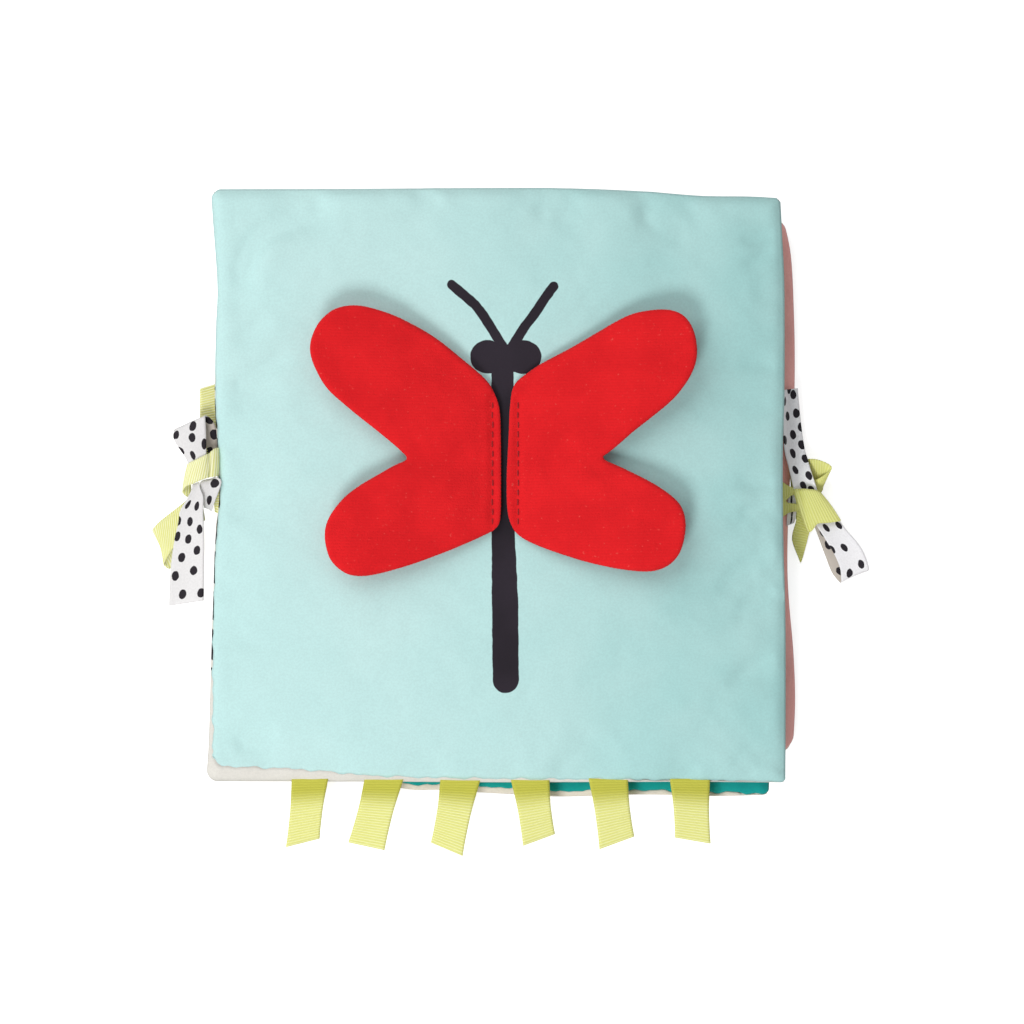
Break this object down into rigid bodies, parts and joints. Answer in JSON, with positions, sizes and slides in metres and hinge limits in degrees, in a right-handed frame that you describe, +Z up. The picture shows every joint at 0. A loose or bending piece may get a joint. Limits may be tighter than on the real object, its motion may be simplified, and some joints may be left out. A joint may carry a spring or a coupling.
{
  "type": "cloth book",
  "caption": "Soft concertina cloth book for a baby: padded crinkle pages, plush wing flaps on the cover, ribbon loops in the seam and bow ties at the edges.",
  "frame": {"origin": "on the flat underside of the back page, below the middle of the front page", "axes": "+Z up from the back page to the cover, +Y to the book's top edge, +X to the fold between the front and middle pages"},
  "size_m": [0.2472, 0.2262, 0.0379],
  "materials": {
    "aqua_cloth": "smooth printed woven polyester",
    "white_cloth": "smooth printed woven polyester",
    "teal_cloth": "smooth woven polyester",
    "cream_cloth": "smooth woven polyester",
    "pink_cloth": "smooth woven polyester",
    "wadding": "polyester wadding",
    "crinkle_film": "thin crackling film",
    "red_plush": "short-pile plush",
    "green_ribbon": "ribbed grosgrain ribbon",
    "dotted_ribbon": "printed white ribbon with black dots"
  },
  "bodies": {
    "back_panel": {"back_top_cloth": "pink_cloth", "back_reverse_cloth": "cream_cloth", "back_wadding": "wadding", "back_crinkle_film": "crinkle_film", "fold_left_cloth": "cream_cloth"},
    "middle_panel": {"middle_top_cloth": "teal_cloth", "middle_reverse_cloth": "cream_cloth", "middle_wadding": "wadding", "middle_crinkle_film": "crinkle_film", "fold_right_cloth": "aqua_cloth"},
    "front_panel": {"front_top_cloth": "aqua_cloth", "front_reverse_cloth": "white_cloth", "front_wadding": "wadding", "front_crinkle_film": "crinkle_film", "left_wing_hem": "red_plush", "right_wing_hem": "red_plush"},
    "left_wing": {"left_wing_front": "red_plush", "left_wing_back": "red_plush", "left_wing_wadding": "wadding"},
    "right_wing": {"right_wing_front": "red_plush", "right_wing_back": "red_plush", "right_wing_wadding": "wadding"},
    "tag_1": {"tag_1": "green_ribbon"},
    "tag_2": {"tag_2": "green_ribbon"},
    "tag_3": {"tag_3": "green_ribbon"},
    "tag_4": {"tag_4": "green_ribbon"},
    "tag_5": {"tag_5": "green_ribbon"},
    "tag_6": {"tag_6": "green_ribbon"},
    "left_tie": {"left_tie_anchor": "green_ribbon", "left_tie_knot": "green_ribbon", "left_tie_dotted_loop": "dotted_ribbon", "left_tie_green_loop": "green_ribbon", "left_tie_dotted_tail": "dotted_ribbon", "left_tie_green_tail": "green_ribbon"},
    "right_tie": {"right_tie_anchor": "green_ribbon", "right_tie_knot": "green_ribbon", "right_tie_dotted_loop": "dotted_ribbon", "right_tie_green_loop": "green_ribbon", "right_tie_dotted_tail": "dotted_ribbon", "right_tie_green_tail": "green_ribbon"}
  },
  "joints": [
    {"name": "middle_panel_fold", "type": "hinge", "parent": "back_panel", "child": "middle_panel", "pos_m": [-0.0984, 0, 0.0086], "axis": [0, -1, 0], "range_deg": [0, 180], "deforming": ["fold_left_cloth"]},
    {"name": "front_panel_fold", "type": "hinge", "parent": "middle_panel", "child": "front_panel", "pos_m": [0.0984, 0, 0.0174], "axis": [0, 1, 0], "range_deg": [0, 180], "deforming": ["fold_right_cloth"]},
    {"name": "left_wing_hinge", "type": "hinge", "parent": "front_panel", "child": "left_wing", "pos_m": [-0.00205, 0, 0.0276], "axis": [0, 1, 0], "range_deg": [-7, 80], "stiffness_Nm_per_rad": 0.01, "springref_deg": 2.58},
    {"name": "right_wing_hinge", "type": "hinge", "parent": "front_panel", "child": "right_wing", "pos_m": [0.00705, 0, 0.0276], "axis": [0, -1, 0], "range_deg": [-7, 80], "stiffness_Nm_per_rad": 0.01, "springref_deg": 2.58},
    {"name": "tag_1_hinge", "type": "hinge", "parent": "front_panel", "child": "tag_1", "pos_m": [-0.06482, -0.10221, 0.0218], "axis": [-1, 0, 0], "range_deg": [-45, 90]},
    {"name": "tag_2_hinge", "type": "hinge", "parent": "front_panel", "child": "tag_2", "pos_m": [-0.03939, -0.10208, 0.0218], "axis": [-1, 0, 0], "range_deg": [-45, 90]},
    {"name": "tag_3_hinge", "type": "hinge", "parent": "front_panel", "child": "tag_3", "pos_m": [-0.0131, -0.10201, 0.0218], "axis": [-1, 0, 0], "range_deg": [-45, 90]},
    {"name": "tag_4_hinge", "type": "hinge", "parent": "front_panel", "child": "tag_4", "pos_m": [0.01109, -0.10201, 0.0218], "axis": [-1, 0, 0], "range_deg": [-45, 90]},
    {"name": "tag_5_hinge", "type": "hinge", "parent": "front_panel", "child": "tag_5", "pos_m": [0.03795, -0.10208, 0.0218], "axis": [-1, 0, 0], "range_deg": [-45, 90]},
    {"name": "tag_6_hinge", "type": "hinge", "parent": "front_panel", "child": "tag_6", "pos_m": [0.06606, -0.10224, 0.0218], "axis": [-1, 0, 0], "range_deg": [-45, 90]},
    {"name": "left_tie_hinge", "type": "hinge", "parent": "front_panel", "child": "left_tie", "pos_m": [-0.0969, 0.0035, 0.0218], "axis": [0, 1, 0], "range_deg": [0, 70]},
    {"name": "right_tie_hinge", "type": "hinge", "parent": "back_panel", "child": "right_tie", "pos_m": [0.10003, -0.006, 0.0042], "axis": [0, -1, 0], "range_deg": [0, 70]}
  ]
}
